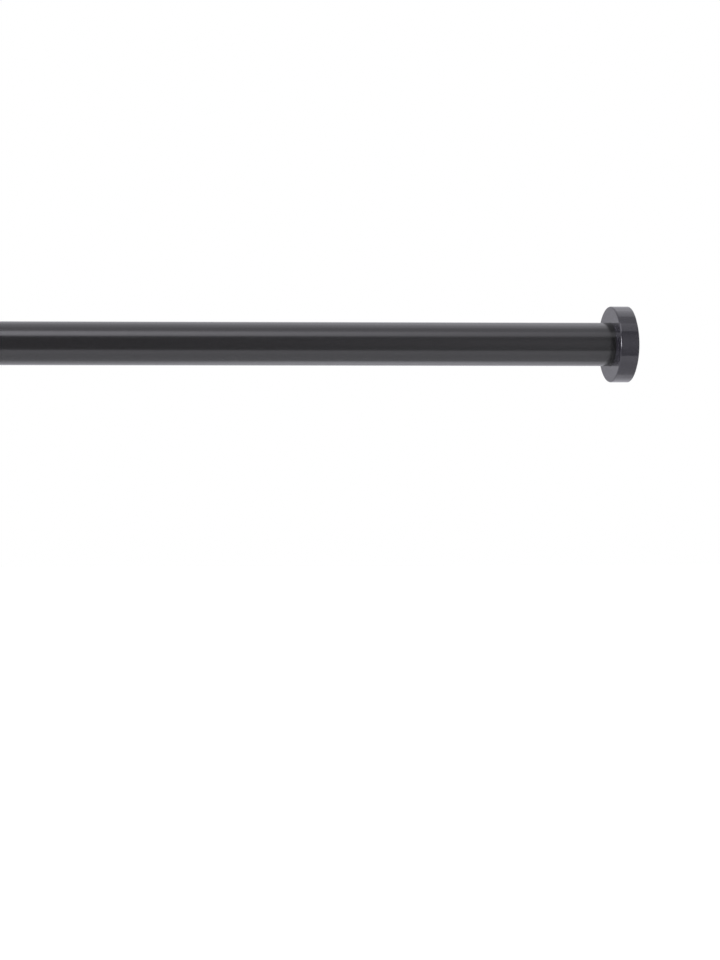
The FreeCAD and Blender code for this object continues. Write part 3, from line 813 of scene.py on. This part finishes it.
def tensionSpring(name, finish):
    # the coils sit between the anchor's shelf and the follower's flange
    low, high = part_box("tension_spring")
    allTurns = springForm["activeTurns"] + 2 * springForm["closedTurns"]
    piece = bpy.data.objects.new(name, bpy.data.meshes.new(name))
    scene.collection.objects.link(piece)
    applyTree(piece, springTree(), {
        "Wire Radius": springForm["wire"] / 2 * mm,
        "Coil Radius": springForm["coilRadius"] * mm,
        "Start": low.x,
        "End": high.x,
        "Closed Rise": springForm["closedTurns"] * springForm["closedPitch"] * mm,
        "Closed Turns": float(springForm["closedTurns"]),
        "Active Turns": float(springForm["activeTurns"]),
        "Steps": allTurns * springForm["stepsPerTurn"] + 1,
        "Steps Round": springForm["stepsRound"],
        "Finish": finish,
    })
    bakeModifiers(piece)
    piece.data.shade_smooth()
    piece.data.set_sharp_from_angle(angle=math.radians(turning["sharpAngle"]))
    return piece


# spindle: hexagon plunger, turned journal with a clip groove at one end, M8 thread at the other

spindleForm = {
    "journalRadius": 2.5,
    "journalLength": 14.5,
    "journalBevel": 0.3,
    "grooveFromTip": (1.6, 2.5),
    "grooveRadius": 2.0,
    "hexFlats": 8.0,
    "hexLength": 59.1,
    "hexCorner": 0.12,  # how much the bar's drawn corners are rounded off
    "hexBevel": 0.5,
    "hexStart": 0.05,  # how far below the flats the bevel starts
    "shoulderRadius": 9.0,
    "shoulderLength": 4.0,
    "shoulderBevel": 0.4,
    "threadRadius": 4.0,
    "threadPitch": 1.25,
    "threadDepth": 0.767,
    "threadCrest": 0.25,  # shares of half a pitch; the root has the rest
    "threadFlank": 0.625,
    "threadRelief": 2.5,
    "threadRunIn": 0.4,
    "threadRise": 1.5,  # growth of the first turn, for each millimetre along
    "tipBevel": 1.0,
    "stepsPerPitch": 10,
    "segments": 72,
}


def hexRadius(angle):
    flats = spindleForm["hexFlats"] / 2
    corner = flats / math.cos(math.pi / 6) - spindleForm["hexCorner"]
    fromFlat = (angle % (math.pi / 3)) - math.pi / 6
    return min(flats / math.cos(fromFlat), corner)


def threadRadius(along, most):
    # crest flat, two flanks and root flat over each pitch
    def rule(angle):
        phase = (along / spindleForm["threadPitch"] - angle / (2 * math.pi)) % 1.0
        fromCrest = abs(phase - 0.5) * 2
        sunk = min(max((fromCrest - spindleForm["threadCrest"]) / spindleForm["threadFlank"], 0.0), 1.0)
        return min(spindleForm["threadRadius"] - spindleForm["threadDepth"] * sunk, most)
    return rule


def lockSpindle(name):
    low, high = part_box("lock_spindle")
    tail, tip = low.x / mm, high.x / mm
    journal, groove = spindleForm["journalRadius"], spindleForm["grooveRadius"]
    journalBevel = spindleForm["journalBevel"]
    hexFrom = tail + spindleForm["journalLength"]
    shoulderFrom = hexFrom + spindleForm["hexLength"]
    shoulderTo = shoulderFrom + spindleForm["shoulderLength"]
    shoulder, bevel = spindleForm["shoulderRadius"], spindleForm["shoulderBevel"]
    root = spindleForm["threadRadius"] - spindleForm["threadDepth"]
    hexBevel = spindleForm["hexBevel"]
    hexStart = spindleForm["hexFlats"] / 2 - spindleForm["hexStart"]
    stations = [(tail, 0), (tail, journal - journalBevel), (tail + journalBevel, journal)]
    grooveFrom, grooveTo = (tail + reach for reach in spindleForm["grooveFromTip"])
    stations += [(grooveFrom, journal), (grooveFrom, groove), (grooveTo, groove), (grooveTo, journal)]
    stations += [(hexFrom, journal), (hexFrom, hexStart)]
    stations += [(hexFrom + hexBevel, hexRadius), (shoulderFrom, hexRadius)]
    stations += [(shoulderFrom, shoulder - bevel), (shoulderFrom + bevel, shoulder)]
    stations += [(shoulderTo - bevel, shoulder), (shoulderTo, shoulder - bevel), (shoulderTo, root)]
    threadFrom = shoulderTo + spindleForm["threadRelief"]
    steps = round((tip - threadFrom) / spindleForm["threadPitch"] * spindleForm["stepsPerPitch"])
    stations.append((threadFrom - spindleForm["threadRunIn"], root))
    for k in range(steps + 1):
        along = threadFrom + (tip - threadFrom) * k / steps
        # the thread starts and ends on a cone
        most = min(root + (along - threadFrom) * spindleForm["threadRise"],
                   spindleForm["threadRadius"] - spindleForm["tipBevel"] + (tip - along))
        stations.append((along, threadRadius(along, most)))
    stations.append((tip, 0))
    shape = bmesh.new()
    segments = spindleForm["segments"]
    rings = [ringOfPoints(shape, along, radius, segments) for along, radius in stations]
    skinRings(shape, rings, segments, closed=False)
    return finishMesh(name, shape)


# studio: a pale floor, and a room of light in bands along the rod as a product table gives it

studio = {
    "floorDrop": 0.45,
    "floorSize": 90.0,
    "floorMiddle": -0.41,
    # the floor's painted glow comes up between these two distances
    "floorGlowFade": (0.12, 0.75),  # metres from the rod's middle line, across it
    "floorStretch": 0.4,  # the fade is slower along the rod
    "floorColour": "#F0F0F0",
    "white": "#FFFFFF",
    "black": "#000000",
    "lightTint": "#F8F7FF",  # slightly cool, as daylight lamps are
    "lightLevel": 1.12,
    # light by angle about the rod, 0 towards the camera and 90 straight up: (degrees, strength)
    "bands": [
        (-180, 0.77), (-150, 1.0), (-125, 1.4), (-114, 1.4), (-106, 1.02), (-100, 0.98), (-60, 1.13),
        (-50, 1.33), (-36, 1.35), (-33.8, 0.05), (39, 0.05), (41, 1.2), (60, 1.17), (76, 1.08), (94, 1.0),
        (112, 1.1), (136, 1.2), (152, 0.87), (180, 0.77),
    ],
    # softboxes: corners across the rod in (y, z), reach along it, (x, strength) at two places between,
    # and the share of it that is left at the two long edges
    "panels": {
        "overheadStrip": {"across": ((-1.19, 1.0), (-0.45, 1.0)), "reach": (-2.4, 0.4),
                          "strength": ((-0.15, 3.9), (0.4, 1.3)), "edge": 1.0},
        "backStrip": {"across": ((0.05, 1.0), (0.9, 1.0)), "reach": (-0.3, 2.4),
                      "strength": ((-0.05, 1.2), (0.3, 1.65)), "edge": 1.0},
        "underStrip": {"across": ((0.29, -1.0), (0.85, -1.0)), "reach": (0.04, 2.4),
                       "strength": ((0.29, 1.98), (0.35, 1.22)), "edge": 1.0},
        "frontCard": {"across": ((-1.87, -1.31), (-1.87, 1.55)), "reach": (0.2, 2.4),
                      "strength": ((0.2, 0.04), (0.64, 0.86)), "edge": 0.4},
    },
    "sideBox": {"at": (-2.0, -0.8, 0.1), "size": (0.55, 1.35), "watts": 62.0},
}


def bandedWorld():
    world = bpy.data.worlds.new("studioRoom")
    world.use_nodes = True
    tree = world.node_tree
    tree.nodes.clear()
    split = addNode(tree, "ShaderNodeSeparateXYZ", {
        "Vector": addNode(tree, "ShaderNodeTexCoord").outputs["Generated"]})
    towards = addNode(tree, "ShaderNodeMath", {0: split.outputs["Y"], 1: -1.0}, operation="MULTIPLY")
    angle = addNode(tree, "ShaderNodeMath", {
        0: split.outputs["Z"], 1: towards.outputs[0]}, operation="ARCTAN2")
    share = addNode(tree, "ShaderNodeMapRange", {
        "Value": angle.outputs[0], "From Min": -math.pi, "From Max": math.pi})
    ramp = addNode(tree, "ShaderNodeValToRGB", {"Fac": share.outputs["Result"]})
    brightest = max(strength for _, strength in studio["bands"])
    tint = linearColour(studio["lightTint"])
    stops = ramp.color_ramp.elements
    while len(stops) < len(studio["bands"]):
        stops.new(1.0)
    for stop, (degrees, strength) in zip(stops, studio["bands"]):
        stop.position = (degrees + 180) / 360
        stop.color = [channel * strength / brightest for channel in tint[:3]] + [1.0]
    room = addNode(tree, "ShaderNodeBackground", {
        "Color": ramp.outputs["Color"], "Strength": brightest * studio["lightLevel"]})
    backdrop = addNode(tree, "ShaderNodeBackground", {
        "Color": linearColour(studio["white"]), "Strength": 1.0})
    seen = addNode(tree, "ShaderNodeLightPath").outputs["Is Camera Ray"]
    both = addNode(tree, "ShaderNodeMixShader", {
        "Fac": seen, 1: room.outputs["Background"], 2: backdrop.outputs["Background"]})
    addNode(tree, "ShaderNodeOutputWorld", {"Surface": both.outputs["Shader"]})
    scene.world = world


def stageSheet(name, corners, finish):
    mesh = bpy.data.meshes.new(name)
    mesh.from_pydata(corners, [], [(0, 1, 2, 3)])
    mesh.materials.append(finish)
    sheet = bpy.data.objects.new(name, mesh)
    scene.collection.objects.link(sheet)
    return sheet


def paleFloor():
    half = studio["floorSize"] / 2
    drop = -studio["floorDrop"]
    stretch = studio["floorStretch"]
    finish, tree, shader, place = newFinish("paleFloorPaintAndGlow", {
        "Base Color": linearColour(studio["floorColour"]), "Roughness": 0.9,
        "Emission Color": linearColour(studio["white"])})
    # painted light: the floor glows white away from the rod, so that it fades into the white of the room
    spread = addNode(tree, "ShaderNodeMapping", {
        "Vector": place, "Location": (-studio["floorMiddle"] * stretch, 0.0, -drop),
        "Scale": (stretch, 1.0, 1.0)})
    away = addNode(tree, "ShaderNodeVectorMath", {0: spread.outputs["Vector"]}, operation="LENGTH")
    fadeFrom, fadeTo = studio["floorGlowFade"]
    floorGlow = addNode(tree, "ShaderNodeMapRange", {
        "Value": away.outputs["Value"], "From Min": fadeFrom, "From Max": fadeTo})
    tree.links.new(floorGlow.outputs["Result"], shader.inputs["Emission Strength"])
    corners = [(-half, -half, drop), (half, -half, drop), (half, half, drop), (-half, half, drop)]
    floor = stageSheet("paleFloor", corners, finish)
    floor.visible_glossy = False


def lightPanel(name, form):
    # strength changes along the rod, which gives the tube its slow fade
    (xA, strengthA), (xB, strengthB) = form["strength"]
    level = studio["lightLevel"]
    finish, tree, shader, place = newFinish(name + "Cloth", {
        "Base Color": linearColour(studio["black"]), "Roughness": 1.0, "Specular IOR Level": 0.0,
        "Emission Color": linearColour(studio["lightTint"])})
    along = addNode(tree, "ShaderNodeSeparateXYZ", {"Vector": place}).outputs["X"]
    glow = addNode(tree, "ShaderNodeMapRange", {
        "Value": along, "From Min": xA, "From Max": xB,
        "To Min": strengthA * level, "To Max": strengthB * level})
    left, right = form["reach"]
    (yA, zA), (yB, zB) = form["across"]
    # a softbox is strongest along its middle line
    middle = Vector((0.0, (yA + yB) / 2, (zA + zB) / 2))
    half = Vector((0.0, (yB - yA) / 2, (zB - zA) / 2))
    offset = addNode(tree, "ShaderNodeVectorMath", {0: place, 1: middle}, operation="SUBTRACT")
    across = addNode(tree, "ShaderNodeVectorMath", {
        0: offset.outputs["Vector"], 1: half / half.length_squared}, operation="DOT_PRODUCT")
    aside = addNode(tree, "ShaderNodeMath", {0: across.outputs["Value"]}, operation="ABSOLUTE")
    fall = addNode(tree, "ShaderNodeMapRange", {
        "Value": aside.outputs[0], "To Min": 1.0, "To Max": form["edge"]})
    strength = addNode(tree, "ShaderNodeMath", {
        0: glow.outputs["Result"], 1: fall.outputs["Result"]}, operation="MULTIPLY")
    tree.links.new(strength.outputs[0], shader.inputs["Emission Strength"])
    panel = stageSheet(name, [(left, yA, zA), (right, yA, zA), (right, yB, zB), (left, yB, zB)], finish)
    panel.visible_camera = False


def sideBox():
    form = studio["sideBox"]
    lamp = bpy.data.lights.new("sideBox", "AREA")
    lamp.shape = "RECTANGLE"
    lamp.size, lamp.size_y = form["size"]
    lamp.energy = form["watts"]
    lamp.color = linearColour(studio["lightTint"])[:3]
    box = bpy.data.objects.new("sideBox", lamp)
    scene.collection.objects.link(box)
    box.location = form["at"]
    box.rotation_euler = (-Vector(form["at"])).to_track_quat("-Z", "Z").to_euler()


scene.view_settings.view_transform = "Standard"
photoCamera()
bandedWorld()
paleFloor()
for panelName, panelForm in studio["panels"].items():
    lightPanel(panelName, panelForm)
sideBox()
print("studio: room, floor, panels and camera set")

coat = powderCoat()
gloss = glossAbs()
rubber = mouldedRubber()
eroded = erodedAbs()
acetal = milkyAcetal()
nylon = filledNylon()
brass = turnedBrass()
plated = zincPlate()
wire = drawnWire()
print("finishes: made")

mouldedRibs = ribTree()
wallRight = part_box("outer_wall_pad")[1].x
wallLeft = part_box("inner_wall_pad")[0].x
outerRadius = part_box("outer_tube")[1].z / mm
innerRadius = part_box("inner_tube")[1].z / mm

fitPiece(drawnTube("outerTube", "outer_tube", ()), coat, "outer_assembly", "outer_tube")
fitPiece(drawnTube("innerTube", "inner_tube", tubeForm["beadsFromHiddenEnd"]), coat,
         "inner_assembly", "inner_tube")
fitPiece(endCap("outerEndCap", outerRadius, wallRight, False, gloss), gloss,
         "outer_assembly", "outer_end_cap")
fitPiece(endCap("innerEndCap", innerRadius, wallLeft, True, gloss), gloss,
         "inner_assembly", "inner_end_cap")
fitPiece(wallPad("outerWallPad", wallRight, False), rubber, "outer_assembly", "outer_wall_pad")
fitPiece(wallPad("innerWallPad", wallLeft, True), rubber, "inner_assembly", "inner_wall_pad")
fitPiece(mouthCollar("mouthCollar"), eroded, "outer_assembly", "mouth_collar")
print("pieces: tubes, caps, pads and collar made")

fitPiece(lockSpindle("lockSpindle"), plated, "plunger", "lock_spindle")
spring = tensionSpring("tensionSpring", wire)
fitPiece(spring, wire, "inner_assembly", "tension_spring")
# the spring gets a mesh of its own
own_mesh(spring)
print("pieces: spindle and spring made")

innerFinishes = {
    "guide_plug": acetal,
    "spring_anchor": acetal,
    "spring_follower": acetal,
    "expander_sleeve": nylon,
    "drag_ring": rubber,
    "expander_cone": brass,
    "follower_clip": plated,
    "thrust_washer": plated,
    "stop_nut": plated,
}
for nodeName, finish in innerFinishes.items():
    for slot in cadNodes[nodeName].material_slots:
        slot.material = finish
print("finishes: on", len(innerFinishes), "solids inside the tubes")
